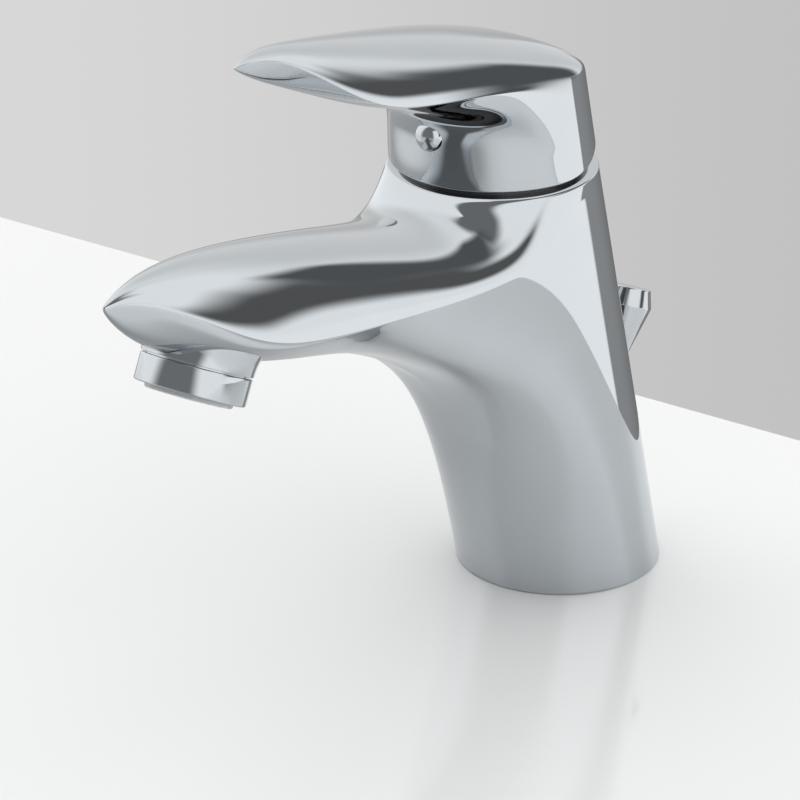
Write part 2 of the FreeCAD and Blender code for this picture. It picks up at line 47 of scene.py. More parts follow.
# Shapes below are worked out in millimetres, in the row frame, and put into meshes in metres.
BASE_R = 25.0            # foot of the column
COLLAR_R = 24.4          # top edge of the column
COLLAR_Z = 110.5         # height of that edge
AXIS_Y = -30.1           # cartridge axis, vertical, ahead of the foot because the column leans forward
TOP_Z = COLLAR_Z + 0.1   # flat top of the casting
SKIRT_Z = 112.2          # lower edge of the handle's skirt at the front
PIVOT_Z = 112.0          # tilt pin of the lever
LIFT_DEG = 17.0          # lever travel, closed to fully open
SKIRT_WALL = 2.4
ROOF_Z = 128.0           # roof of the handle's cavity
AER_TILT = 26.4          # outlet axis, degrees from plumb
AER_TOP = (0.0, -139.2, 98.6)   # centre of the outlet boss's end face
AER_R = 12.2             # visible aerator ring
SOCKET_R = 11.05         # M22 x 1 female seat in the spout
ROD_LEAN = 22.0          # lift rod leans back, degrees
ROD_KNOB = (0.0, 28.4, 56.0)    # centre of the knob's widest circle
ROD_R = 2.5
KNOB_R = 6.4
INLET_X, INLET_Y, INLET_R = 10.0, 1.6, 5.0      # M10 x 1 hose tails
STUD_X, STUD_Y, STUD_R = 11.0, -9.0, 2.95       # M6 fixing studs
CAVITY_Y, CAVITY_R, CAVITY_Z = -3.0, 16.5, 30.0 # open foot of the casting
DECK_T = 18.0            # basin deck the clamp is drawn for
CHAMBER_R, CHAMBER_Z = 17.75, 78.0              # seat of the 35 mm cartridge
NUT_BORE_R, NUT_Z = 19.2, 104.0
INDEX_Z, INDEX_R = 124.3, 3.35
RING_R = 22.0            # slip ring in the groove between column and handle, drawn black: a plastic ring that is also painted shade of the groove


def pchip(xs, ys):
    n = len(xs)
    h = [xs[i + 1] - xs[i] for i in range(n - 1)]
    d = [(ys[i + 1] - ys[i]) / h[i] for i in range(n - 1)]
    m = [0.0] * n
    for i in range(1, n - 1):
        if d[i - 1] * d[i] > 0:
            w1 = 2 * h[i] + h[i - 1]
            w2 = h[i] + 2 * h[i - 1]
            m[i] = (w1 + w2) / (w1 / d[i - 1] + w2 / d[i])
    m[0] = d[0]
    m[-1] = d[-1]

    def f(x):
        if x <= xs[0]:
            return ys[0] + m[0] * (x - xs[0])
        if x >= xs[-1]:
            return ys[-1] + m[-1] * (x - xs[-1])
        i = bisect_right(xs, x) - 1
        t = (x - xs[i]) / h[i]
        return ((1 + 2 * t) * (1 - t) ** 2 * ys[i] + t * (1 - t) ** 2 * h[i] * m[i]
                + t * t * (3 - 2 * t) * ys[i + 1] + t * t * (t - 1) * h[i] * m[i + 1])
    return f


def smooth(a, b, x):
    t = min(1.0, max(0.0, (x - a) / (b - a)))
    return t * t * (3 - 2 * t)


def swell(ph, j):
    # pole radius that makes a cubic ring pass through the wanted circle
    a = ph[j - 1] if j > 0 else -ph[1]
    b = ph[j + 1] if j + 1 < len(ph) else 360 - ph[j - 1]
    return 1 + radians((b - a) / 2) ** 2 / 6


def mirror(cols):
    n = len(cols)
    out = [list(c) for c in cols]
    for j in range(n - 2, 0, -1):
        out.append([(-x, y, z) for x, y, z in cols[j]])
    return out


# ---------------------------------------------------------------- skin of the casting
# Columns run from the foot up the column, out along the spout's underside to the lip, and back
# over the top to the collar; the lip is a tight row, so it is a small rounded edge that fades
# into the column's sides.
LEAN = -AXIS_Y / COLLAR_Z
BPH = [0, 3, 6, 10, 14.5, 19.5, 25, 31, 38, 46, 55, 65, 76, 88, 101, 114.5, 128, 141.5, 154.5, 167.5, 180]
BLIP = [(0, -171.0, 121.1), (1.5, -166.6, 120.9), (4.3, -160.6, 119.0), (8.0, -154.4, 115.8),
        (11.6, -147.2, 110.8), (14.8, -140.0, 106.0), (17.5, -130.6, 103.0), (18.9, -116.6, 100.8),
        (19.5, -98.5, 98.4), (20.3, -79.5, 96.0), (21.5, -62, 94.5), (22.7, -49.8, 95.1),
        (23.8, -40.5, 99.6), (24.4, -33.0, 105.2)]
BK = [1] * 11 + [.96, .75, .35] + [0] * 10
BMID = [(-25, 0.6), (-25.6, 3), (-30.9, 20), (-36.6, 36), (-43.8, 50.2), (-53.2, 62.0), (-63.8, 70.6),
        (-75.8, 77.8), (-89, 83.9), (-103, 88.6), (-119, 92.8), (-136.5, 98.6), (-153.4, 105.8),
        (-164.4, 114.2), (-169.6, 119.6), (-171.0, 121.1)]
BZB = [0.6, 3, 20, 36, 50, 60, 68, 75, 81, 86.5, 91.5, 96, 100, 103.4, 106, 108]
BTOP = [-169.8, -164.5, -156, -143, -125, -105, -87, -72.5, -62.5, -56.8]
BZT = [108.25, 108.5, 108.7, 108.9, 109.1, 109.25, 109.4, 109.55, 109.7, 109.85]
NECK_L = 5.2
_ys = [p[1] for p in BLIP] + [-25, -10]
bw = pchip(_ys, [p[0] for p in BLIP] + [24.4, 24.4])
bze = pchip(_ys, [p[2] for p in BLIP] + [108, 108])
bzt = pchip([-171.0, -165, -158, -148, -138, -124, -108, -92, -78, -66, -58, -40],
            [121.1, 122.9, 123.8, 123.8, 122.9, 120.6, 117.3, 113.6, 110.0, 107.0, 105.4, 103.5])


def brad(z):
    return BASE_R + (COLLAR_R - BASE_R) * z / COLLAR_Z


def bcol(phi, z, s=1.0):
    r = brad(z) * s
    return (r * sin(phi), -LEAN * z - r * cos(phi), z)


_bd = [max(0.0, (-LEAN * z - brad(z)) - y) for y, z in BMID]
bzm = pchip([_bd[0] - 1e-3] + _bd[1:], [z for y, z in BMID])


def body_net():
    cols = []
    D0 = _bd[-1]
    for j, ph in enumerate(BPH):
        p = radians(ph)
        k = BK[j]
        s = swell(BPH, j)
        E = BLIP[j] if j < len(BLIP) else bcol(p, 108.0, s)
        cE = bcol(p, E[2], s)
        D = max(cE[1] - E[1], 1e-6)
        rho = min(1, D / D0)
        b0 = bcol(p, 0, s)
        rows = [(b0[0] * (1 - 0.7 / BASE_R), b0[1] * (1 - 0.7 / BASE_R), 0.0), b0]
        n = len(BMID)
        for r in range(n):
            yM, zM = BMID[r]
            q = _bd[r] / D0
            h = 1 - (1 - q) ** (1 / max(rho, 0.02) ** 0.85)
            if r == n - 1:
                rows.append(E)
                continue
            dj = D * h
            zf = zM if r < 3 else max(bzm(dj), 0)
            c0 = bcol(p, zf, s)
            xf = c0[0] + (E[0] - cE[0]) * h
            yf = c0[1] - dj
            zh = zf + (E[2] - bzm(D)) * h ** 2.2
            zq = zf + (bze(yf) - zf) * min(1.0, abs(xf) / max(bw(yf), 1e-6)) ** 2.2
            m = smooth(-72, -105, yf)
            zf = zh * (1 - m) + zq * m
            if m < 1:
                c0 = bcol(p, zf, s)
                xf = (c0[0] + (E[0] - cE[0]) * h) * (1 - m) + xf * m
                yf = (c0[1] - dj) * (1 - m) + yf * m
            zb = BZB[r] * E[2] / 108.0
            g = smooth(0.05, 1, zb / E[2])
            c1 = bcol(p, zb, s)
            xb = c1[0] + (E[0] - cE[0]) * g
            yb = c1[1] - D * g
            rows.append((k * xf + (1 - k) * xb, k * yf + (1 - k) * yb, k * zf + (1 - k) * zb))
        C = bcol(p, COLLAR_Z, s)
        dE = sqrt((E[0] - C[0]) ** 2 + (E[1] - C[1]) ** 2)
        ccE = exp(-(dE / NECK_L) ** 1.1)
        yfr = AXIS_Y - COLLAR_R
        for i, yt in enumerate(BTOP):
            q0 = (yt - BLIP[0][1]) / (yfr - BLIP[0][1])
            x = E[0] + (C[0] - E[0]) * q0
            y = E[1] + (C[1] - E[1]) * q0
            qq = min(1.0, abs(x) / max(bw(y), 1e-6))
            z1 = bze(y) + (bzt(y) - bze(y)) * (1 - qq ** 2.2) ** (1 / 1.7)
            cc = (exp(-(dE * (1 - q0) / NECK_L) ** 1.1) - ccE) / max(1 - ccE, 1e-3)
            if dE < 12:
                z1 = E[2] + (z1 - E[2]) * smooth(2, 12, dE)
            zf = z1 + (COLLAR_Z - z1) * cc
            zb = E[2] + (BZT[i] - 108) / (COLLAR_Z - 108) * (COLLAR_Z - E[2])
            fb = (zb - E[2]) / (COLLAR_Z - E[2])
            xb = E[0] + (C[0] - E[0]) * fb
            yb = E[1] + (C[1] - E[1]) * fb
            rows.append((k * x + (1 - k) * xb, k * y + (1 - k) * yb, k * zf + (1 - k) * zb))
        e = bcol(p, COLLAR_Z, s)
        rows.append((e[0], e[1], TOP_Z))
        f = 1 - 0.8 / COLLAR_R
        rows.append((e[0] * f, AXIS_Y + (e[1] - AXIS_Y) * f, TOP_Z))
        cols.append(rows)
    return cols


# ---------------------------------------------------------------- skin of the handle
HPH = [0, 4, 8, 13, 18, 24, 31, 39, 48, 58, 70, 84, 98, 112, 126, 140, 153.5, 167, 180]
HLIP = [(0, -127.0, 159.5), (1.5, -121.2, 160.7), (3.7, -115.0, 159.7), (6.7, -109.9, 156.9),
        (10.2, -104.2, 152.6), (13.6, -97.4, 147.6), (16.5, -89.4, 144.3), (18.6, -78.6, 142.3),
        (20.1, -66.4, 140.8), (21.2, -53.5, 139.3)]
HMID = [(-54.3, 115), (-54.6, 118.5), (-54.9, 122), (-55.3, 125.2), (-57.2, 128.9), (-62, 132.3),
        (-69.5, 135.2), (-78.5, 138.3), (-88.5, 142.0), (-99, 146.8), (-109, 151.2), (-118, 155.2),
        (-124.0, 157.9), (-126.5, 159.0), (-127.0, 159.5)]
HTF = [.012, .05, .12, .22, .35, .50, .66, .82, .94, 1.0]
HPOLE = -52.0


def hc(z):
    return AXIS_Y - 0.125 * (z - 114)


def hr(z):
    return 23.85 - 0.08 * (z - 114)


def hcol(phi, z, s=1.0):
    r = hr(z) * s
    return (r * sin(phi), hc(z) - r * cos(phi), z)


def hlipz(y):
    return 139.3 + (y + 53.5) * (-0.152)


def hbot(yp):
    # lower edge of the skirt: level ahead of the swivel axis, rising behind it so that the
    # skirt clears the trim ring when the lever is lifted
    a = tan(radians(LIFT_DEG)) * yp - 0.3
    return SKIRT_Z + 0.5 * (a + sqrt(a * a + 0.25))


_hy = [p[1] for p in HLIP]
hw = pchip(_hy + [-41.5, -33, -28, -24, -20, -16, -12.8, -10.9, -10.3],
           [p[0] for p in HLIP] + [21.9, 22.1, 21.7, 20.6, 18.6, 15.4, 10.9, 5.4, 0.001])
hze = pchip(_hy + [-10.3], [p[2] for p in HLIP] + [hlipz(-10.3)])
hzt = pchip([-127.0, -121.5, -113, -102, -92, -80, -67, -50, -36, -26, -18, -13, -10.3],
            [159.5, 161.1, 161.1, 159.4, 157.5, 155.0, 152.2, 148.2, 144.3, 141.2, 137.8, 134.9, hlipz(-10.3)])


def handle_net():
    cols = []
    hd = [max(0.0, (hc(z) - hr(z)) - y) for y, z in HMID]
    D0 = hd[-1]
    zm = pchip([hd[0] - 4e-3] + [max(d, hd[0] + 1e-4 * i) for i, d in enumerate(hd)][1:], [z for y, z in HMID])
    n = len(HMID)
    for j, ph in enumerate(HPH):
        p = radians(ph)
        s = swell(HPH, j)
        if j < len(HLIP):
            E = HLIP[j]
        elif j == len(HLIP):
            E = (21.9, -42.0, hlipz(-42.0))
        else:
            zz = 136.0
            for _ in range(6):
                E = hcol(p, zz, s)
                zz = hlipz(E[1])
        cE = hcol(p, E[2], s)
        D = max(cE[1] - E[1], 1e-6)
        rho = min(1, D / D0)
        zb0 = hbot(hcol(p, SKIRT_Z, s)[1] - AXIS_Y)
        b = hcol(p, zb0, s)
        fi = 1 - 0.5 / 24
        rows = [(b[0] * fi, AXIS_Y + (b[1] - AXIS_Y) * fi, zb0), b, hcol(p, zb0 + 0.45, s)]
        k = 1 - smooth(52, 76, ph)
        for r in range(n):
            if r == n - 1:
                rows.append(E)
                continue
            yM, zM = HMID[r]
            q = hd[r] / D0
            h = 1 - (1 - q) ** (1 / max(rho, 0.03) ** 0.85)
            dj = D * h
            zf = zM if r < 4 else zm(dj)
            c0 = hcol(p, zf, s)
            xf = c0[0] + (E[0] - cE[0]) * h
            yf = c0[1] - dj
            zh = zf + (E[2] - zm(D)) * h ** 2.2
            zq = zf + (hze(yf) - zf) * min(1.0, abs(xf) / max(hw(yf), 1e-6)) ** 2.2
            m = smooth(-62, -80, yf)
            zf = zh * (1 - m) + zq * m
            fr = (r + 1) / n
            zb = zb0 + 0.45 + (E[2] - zb0 - 0.45) * fr
            c1 = hcol(p, zb, s)
            g = smooth(0.3, 1, fr)
            xb = c1[0] + (E[0] - cE[0]) * g
            yb = c1[1] - D * g
            rows.append((k * xf + (1 - k) * xb, k * yf + (1 - k) * yb, k * zf + (1 - k) * zb))
        for f in HTF:
            x = E[0] * (1 - f)
            y = E[1] + (HPOLE - E[1]) * f
            qq = min(1.0, abs(x) / max(hw(y), 1e-6))
            z = hze(y) + (hzt(y) - hze(y)) * (1 - qq ** 2.2) ** (1 / 1.8)
            rows.append((x, y, z))
        cols.append(rows)
    return cols


# ---------------------------------------------------------------- mesh helpers
def basis_clamped(n, ts):
    p = 3
    kn = [0.0] * (p + 1) + [float(i) for i in range(1, n - p)] + [float(n - p)] * (p + 1)
    B = np.zeros((len(ts), n))
    for a, t in enumerate(ts):
        t = min(max(t, 0.0), n - p - 1e-9)
        i = bisect_right(kn, t) - 1
        N = [1.0]
        for d in range(1, p + 1):
            saved = 0.0
            M = []
            for r in range(d):
                right = kn[i + r + 1] - t
                left = t - kn[i + 1 - (d - r)]
                tmp = N[r] / (right + left)
                M.append(saved + right * tmp)
                saved = left * tmp
            M.append(saved)
            N = M
        B[a, i - p:i + 1] = N
    return B


def basis_ring(n, ts):
    B = np.zeros((len(ts), n))
    for a, t in enumerate(ts):
        i = int(floor(t))
        f = t - i
        b = [(1 - f) ** 3 / 6, (3 * f ** 3 - 6 * f ** 2 + 4) / 6, (-3 * f ** 3 + 3 * f ** 2 + 3 * f + 1) / 6, f ** 3 / 6]
        for k in range(4):
            B[a, (i - 1 + k) % n] += b[k]
    return B


def sheet_of(cols, per_u, per_v):
    P = np.array(mirror(cols))
    n, m, _ = P.shape
    tu = np.arange(n * per_u) / per_u
    tv = np.linspace(0, m - 3, (m - 3) * per_v + 1)
    return np.einsum("ui,ijk,vj->uvk", basis_ring(n, tu), P, basis_clamped(m, tv))


def mesh_object(name, verts, faces, smooth_angle=40.0):
    me = bpy.data.meshes.new(name)
    me.from_pydata([tuple(float(c) * 0.001 for c in v) for v in verts], [], faces)
    me.validate()
    me.update()
    ob = bpy.data.objects.new(name, me)
    scene.collection.objects.link(ob)
    me.polygons.foreach_set("use_smooth", [True] * len(me.polygons))
    if smooth_angle:
        me.set_sharp_from_angle(angle=radians(smooth_angle))
    return ob


def ring_faces(nu, rows, offset=0, flip=False):
    out = []
    for r in range(rows - 1):
        for u in range(nu):
            w = (u + 1) % nu
            q = [offset + r * nu + u, offset + r * nu + w, offset + (r + 1) * nu + w, offset + (r + 1) * nu + u]
            out.append(q[::-1] if flip else q)
    return out


def lathe(name, profile, origin, axis, n=128, smooth_angle=35.0):
    # profile: closed or axis-ended list of (radius, station)
    ax = Vector(axis).normalized()
    x = Vector((1, 0, 0))
    y = ax.cross(x).normalized()
    o = Vector(origin)
    verts, rows = [], []
    for r, s in profile:
        if r < 1e-6:
            rows.append([len(verts)])
            verts.append(o + ax * s)
        else:
            rows.append(list(range(len(verts), len(verts) + n)))
            for k in range(n):
                a = 2 * pi * k / n
                verts.append(o + ax * s + (x * cos(a) + y * sin(a)) * r)
    faces = []
    loop = list(zip(rows, rows[1:]))
    if profile[0][0] > 1e-6:
        loop.append((rows[-1], rows[0]))
    for A, B in loop:
        for k in range(n):
            w = (k + 1) % n
            if len(A) == 1 and len(B) == 1:
                continue
            if len(A) == 1:
                faces.append([A[0], B[w], B[k]])
            elif len(B) == 1:
                faces.append([A[k], A[w], B[0]])
            else:
                faces.append([A[k], A[w], B[w], B[k]])
    ob = mesh_object(name, verts, faces, smooth_angle)
    import bmesh
    bm = bmesh.new()
    bm.from_mesh(ob.data)
    bmesh.ops.recalc_face_normals(bm, faces=bm.faces)
    bm.to_mesh(ob.data)
    bm.free()
    return ob


def arc(cr, cs, r, a0, a1, n):
    return [(cr + r * cos(radians(a0 + (a1 - a0) * i / n)), cs + r * sin(radians(a0 + (a1 - a0) * i / n))) for i in range(n + 1)]


AD = (0.0, -sin(radians(AER_TILT)), -cos(radians(AER_TILT)))
RU = (0.0, sin(radians(ROD_LEAN)), cos(radians(ROD_LEAN)))


def rod(s):
    return tuple(ROD_KNOB[i] + RU[i] * s for i in range(3))


# ---------------------------------------------------------------- casting skin
S = sheet_of(body_net(), 8, 14)
nu, nv, _ = S.shape
verts = S.transpose(1, 0, 2).reshape(-1, 3)
faces = ring_faces(nu, nv)
faces.append(list(range(nu))[::-1])
faces.append([(nv - 1) * nu + u for u in range(nu)])
casting = mesh_object("casting_skin", verts, faces, None)


def cutter(name, r, p0, p1, n=96):
    a, b = Vector(p0), Vector(p1)
    return lathe(name, [(0, 0), (r, 0), (r, (b - a).length), (0, (b - a).length)], a, b - a, n)


cut = bpy.data.collections.new("cutters")
items = [cutter("cut_foot", CAVITY_R, (0, CAVITY_Y, -1), (0, CAVITY_Y, CAVITY_Z)),
         lathe("cut_top", [(0, CHAMBER_Z), (CHAMBER_R, CHAMBER_Z), (CHAMBER_R, NUT_Z), (NUT_BORE_R, NUT_Z), (NUT_BORE_R, TOP_Z + 1), (0, TOP_Z + 1)], (0, AXIS_Y, 0), (0, 0, 1), 128),
         cutter("cut_rod", ROD_R + 0.95, rod(-20), rod(-52), 64)]
for sx in (-1, 1):
    items.append(cutter("cut_inlet", INLET_R, (sx * INLET_X, INLET_Y, CAVITY_Z - 1), (sx * INLET_X, INLET_Y, CAVITY_Z + 12), 48))
    items.append(cutter("cut_stud", STUD_R + 0.05, (sx * STUD_X, STUD_Y, CAVITY_Z - 1), (sx * STUD_X, STUD_Y, CAVITY_Z + 14), 48))
for o in items:
    scene.collection.objects.unlink(o)
    cut.objects.link(o)
m = casting.modifiers.new("openings", "BOOLEAN")
m.operation = "DIFFERENCE"
m.operand_type = "COLLECTION"
m.collection = cut
m.solver = "MANIFOLD"
bpy.context.view_layer.update()
done = bpy.data.meshes.new_from_object(casting.evaluated_get(bpy.context.evaluated_depsgraph_get()))
casting.modifiers.clear()
casting.data = done
done.polygons.foreach_set("use_smooth", [True] * len(done.polygons))
done.set_sharp_from_angle(angle=radians(50))
for o in items:
    bpy.data.objects.remove(o)
bpy.data.collections.remove(cut)

boss = lathe("outlet_boss", [(SOCKET_R, 0.0), (12.2, 0.0), (12.3, -0.1), (12.32, -0.6), (12.35, -1.2), (12.42, -1.8), (12.5, -2.4), (12.61, -3.0), (12.75, -3.6), (12.87, -4.2), (13.0, -4.8), (13.0, -6.0), (SOCKET_R, -6.0)], AER_TOP, AD, 160)

# ---------------------------------------------------------------- handle skin
S = sheet_of(handle_net(), 8, 14)
nu, nv, _ = S.shape
verts = [tuple(v) for v in S.transpose(1, 0, 2).reshape(-1, 3)][:(nv - 1) * nu]
faces = ring_faces(nu, nv - 1)
pole = len(verts)
verts.append(tuple(S[0, -1]))
for u in range(nu):
    faces.append([(nv - 2) * nu + u, (nv - 2) * nu + (u + 1) % nu, pole])
# lower edge turned in, inner wall of the skirt and the roof of its hollow
prev = 0
rows = []
for zf, inset in ((0.0, SKIRT_WALL - 0.2), (0.25, SKIRT_WALL), (0.5, SKIRT_WALL), (1.0, SKIRT_WALL)):
    ring = []
    for u in range(nu):
        x, y, z = S[u, 0]
        zz = z + (ROOF_Z - z) * (zf if zf < 0.3 else zf) if zf else z
        phi = np.arctan2(x, -(y - hc(z)))
        r = hr(zz) - inset
        ring.append(len(verts))
        verts.append((r * sin(phi), hc(zz) - r * cos(phi), zz))
    rows.append(ring)
base = list(range(nu))
for A, B in zip([base] + rows, rows):
    for u in range(nu):
        w = (u + 1) % nu
        faces.append([A[w], A[u], B[u], B[w]])
faces.append(rows[-1][::-1])
handle = mesh_object("handle_skin", verts, faces, 50.0)

# ---------------------------------------------------------------- turned pieces
ring_face = lathe("trim_ring_face", [(14.2, TOP_Z + 0.02), (RING_R, TOP_Z + 0.02)] + arc(RING_R - 0.25, 111.35, 0.25, 0, 90, 5) + [(14.2, 111.6)], (0, AXIS_Y, 0), (0, 0, 1), 192)
outlet = lathe("outlet_ring", [(9.25, -7.0), (10.9, -7.0), (10.9, 0.35)] + arc(AER_R - 0.35, 0.7, 0.35, -90, 0, 5) + arc(AER_R - 0.4, 6.05, 0.4, 0, 90, 5) + arc(10.1, 6.2, 0.25, 90, 180, 4) + [(9.85, 3.0), (9.25, 3.0)], AER_TOP, AD, 192)
dome = [(INDEX_R * sin(radians(a)), 2.5 * (1 - cos(radians(a)))) for a in range(0, 91, 6)]
button = lathe("index_button", dome + [(INDEX_R, 6.4), (0, 6.4)], (0, -57.7, INDEX_Z), (0, 1, 0), 96)
knob = lathe("knob", [(0, 4.55), (4.5, 4.5)] + arc(4.85, 3.95, 0.55, 90, 10, 5) + arc(6.05, 0.0, 0.35, 12, -14, 4) + [(2.95, -13.0), (0, -13.0)], ROD_KNOB, RU, 128)

pairs = [(casting, "body", "body_casting"), (boss, "body", None), (handle, "lever", "lever_handle"),
         (ring_face, "body", "trim_ring"), (outlet, "body", "aerator_housing"), (button, "lever", "index_plug"), (knob, "rod", "lift_knob")]
for o, body, node in pairs:
    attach(o, body)
    if node:
        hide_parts(node)

# ---------------------------------------------------------------- materials
def material(name, color, metallic, rough, noise=0.0, scale=400.0, bump=0.0, shade=0.04, **extra):
    mat = bpy.data.materials.new(name)
    mat.use_nodes = True
    nt = mat.node_tree
    b = nt.nodes["Principled BSDF"]
    b.inputs["Base Color"].default_value = (*color, 1)
    b.inputs["Metallic"].default_value = metallic
    b.inputs["Roughness"].default_value = rough
    for k, v in extra.items():
        b.inputs[k.replace("_", " ")].default_value = v
    tc = nt.nodes.new("ShaderNodeTexCoord")
    no = nt.nodes.new("ShaderNodeTexNoise")
    no.inputs["Scale"].default_value = scale
    no.inputs["Detail"].default_value = 4.0
    nt.links.new(tc.outputs["Object"], no.inputs["Vector"])
    ramp = nt.nodes.new("ShaderNodeMapRange")
    ramp.inputs["To Min"].default_value = max(0.0, rough - noise)
    ramp.inputs["To Max"].default_value = rough + noise
    nt.links.new(no.outputs["Fac"], ramp.inputs["Value"])
    nt.links.new(ramp.outputs["Result"], b.inputs["Roughness"])
    tint = nt.nodes.new("ShaderNodeValToRGB")
    tint.color_ramp.elements[0].position = 0.3
    tint.color_ramp.elements[1].position = 0.7
    tint.color_ramp.elements[0].color = (*[c * (1 - shade) for c in color], 1)
    tint.color_ramp.elements[1].color = (*[min(1.0, c * (1 + shade)) for c in color], 1)
    nt.links.new(no.outputs["Fac"], tint.inputs["Fac"])
    nt.links.new(tint.outputs["Color"], b.inputs["Base Color"])
    if bump:
        bp = nt.nodes.new("ShaderNodeBump")
        bp.inputs["Strength"].default_value = bump
        bp.inputs["Distance"].default_value = 0.0002
        nt.links.new(no.outputs["Fac"], bp.inputs["Height"])
        nt.links.new(bp.outputs["Normal"], b.inputs["Normal"])
    return mat


chrome = material("chrome", (0.535, 0.567, 0.592), 1.0, 0.03, 0.01, 60.0, shade=0.012)
brass = material("brass", (0.72, 0.56, 0.27), 1.0, 0.28, 0.08, 300.0)
steel = material("zinc_steel", (0.62, 0.62, 0.63), 1.0, 0.32, 0.08, 500.0, 0.1)
spindle = material("spindle", (0.66, 0.66, 0.66), 1.0, 0.25, 0.06, 500.0)
rubber = material("rubber", (0.025, 0.025, 0.026), 0.0, 0.7, 0.1, 800.0, 0.3)
grey = material("grey_plastic", (0.60, 0.61, 0.63), 0.0, 0.28, 0.05, 500.0)
white = material("white_plastic", (0.82, 0.82, 0.80), 0.0, 0.45, 0.08, 500.0, 0.1)
black = material("black_plastic", (0.03, 0.03, 0.035), 0.0, 0.12, 0.03, 500.0)
ceramic = material("ceramic", (0.86, 0.83, 0.78), 0.0, 0.18, 0.04, 500.0)
by_slot = {"chrome": chrome, "brass": brass, "steel": steel, "valve_metal": spindle, "rubber": rubber,
           "grey_plastic": grey, "white_plastic": white, "black_plastic": black, "ceramic": ceramic}
slots = {s["node"]: s["material_slot"] for s in frame["record"]["subparts"]}
for name, ob in nodes.items():
    ob.data.materials.clear()
    ob.data.materials.append(by_slot[slots[name]])
for o, body, node in pairs:
    o.data.materials.clear()
    # the slip ring face is black, partly for its plastic and partly as painted shade of the groove under the
    # handle; all else is chrome
    o.data.materials.append(black if o is ring_face else chrome)

# ---------------------------------------------------------------- floor, light, camera
fm = bpy.data.meshes.new("floor")
fm.from_pydata([(-6, -6, 0), (6, -6, 0), (6, 0.091, 0), (-6, 0.091, 0)], [], [(0, 1, 2, 3)])
floor_ob = bpy.data.objects.new("floor", fm)
scene.collection.objects.link(floor_ob)
fm.materials.append(material("floor", (0.84, 0.845, 0.845), 0.0, 0.06, 0.01, 6.0, shade=0.004, IOR=1.7))

# soft studio surround: light walls and ceiling, a dim doorway to the right behind the part
world = bpy.data.worlds.new("studio")
scene.world = world
world.use_nodes = True
wt = world.node_tree
bg = wt.nodes["Background"]


def wnode(kind, *inputs, **props):
    n = wt.nodes.new(kind)
    for k, v in props.items():
        setattr(n, k, v)
    for i, v in enumerate(inputs):
        if v is None:
            continue
        if isinstance(v, (int, float)):
            n.inputs[i].default_value = v
        else:
            wt.links.new(v, n.inputs[i])
    return n.outputs[0]


def op(name, *v):
    return wnode("ShaderNodeMath", *v, operation=name)


def step(v, lo, hi):
    n = wt.nodes.new("ShaderNodeMapRange")
    n.interpolation_type = "SMOOTHSTEP"
    wt.links.new(v, n.inputs[0])
    n.inputs[1].default_value = lo
    n.inputs[2].default_value = hi
    return n.outputs[0]


def mul(*v):
    out = v[0]
    for x in v[1:]:
        out = op("MULTIPLY", out, x)
    return out


def inv(v):
    return op("SUBTRACT", 1.0, v)


def blend(a, b, f):
    # a + (b - a) f
    return op("ADD", a, mul(op("SUBTRACT", b, a), f))


wc = wt.nodes.new("ShaderNodeTexCoord")
xyz = wt.nodes.new("ShaderNodeSeparateXYZ")
wt.links.new(wc.outputs["Generated"], xyz.inputs[0])
X, Y, Z = xyz.outputs[0], xyz.outputs[1], xyz.outputs[2]
along = op("ADD", mul(X, 0.5), mul(Y, 0.866025))
across = op("ADD", mul(X, -0.866025), mul(Y, 0.5))
A = op("DEGREES", op("ARCTAN2", across, along))      # azimuth from the direction (0.5, 0.866), degrees
EL = op("DEGREES", op("ARCSINE", Z))
sides = mul(step(A, -118.0, -94.0), inv(step(A, 150.0, 180.0)))
E = op("ADD", 0.24, mul(sides, 1.0))
back = mul(step(A, 12.0, 40.0), inv(step(A, 66.0, 92.0)))
E = blend(E, op("ADD", 0.88, mul(step(EL, 22.0, 48.0), 0.24)), back)
ceiling = mul(step(op("SUBTRACT", EL, mul(step(A, -32.0, -6.0), 14.0)), 44.0, 57.0), inv(step(op("SUBTRACT", A, mul(op("SUBTRACT", EL, 56.0), 0.6)), 28.0, 62.0)))
E = blend(E, 0.22, ceiling)
edge_lo = op("ADD", 2.0, mul(step(A, -34.0, -8.0), 7.0))
edge_hi = op("ADD", 11.0, mul(step(A, -55.0, -12.0), 20.0))
dim = mul(step(A, -58.0, -42.0), inv(step(A, 2.0, 28.0)),
          step(op("SUBTRACT", EL, edge_lo), -4.0, 5.0), inv(step(op("SUBTRACT", EL, edge_hi), -7.0, 7.0)))
E = blend(E, 0.13, dim)
low = mul(step(A, 0.5, 3.0), inv(step(A, 54.0, 58.5)), inv(step(EL, -8.0, 0.0)))
E = blend(E, op("SUBTRACT", 0.38, mul(step(A, 5.0, 60.0), 0.2)), low)
bright = mul(step(A, -95.0, -65.0), inv(step(A, 0.5, 3.0)), inv(step(EL, -6.0, -1.0)))
E = blend(E, 1.3, bright)
wall = mul(step(A, 57.5, 59.0), inv(step(A, 74.0, 84.0)), inv(step(EL, -4.0, 8.0)))
E = blend(E, op("ADD", 0.54, mul(step(A, 59.0, 72.0), 0.14)), wall)
wt.links.new(E, bg.inputs["Color"])
bg.inputs["Strength"].default_value = 1.0

top = bpy.data.lights.new("softbox", "SUN")
top.angle = radians(70.0)
top.energy = 1.08
top_ob = bpy.data.objects.new("softbox", top)
scene.collection.objects.link(top_ob)
top_ob.location = (0.3, -0.4, 2.0)
top_ob.rotation_euler = (Vector((0, 0, 0)) - Vector(top_ob.location)).to_track_quat("-Z", "Y").to_euler()
top_ob.visible_glossy = False
# the polished skin shows the room, not the lever above it
for o in [handle, button] + [nodes[k] for k in ("grub_screw", "valve_stem", "pivot_pin", "stem_carrier", "cartridge_housing", "cartridge_nut")]:
    o.visible_glossy = False
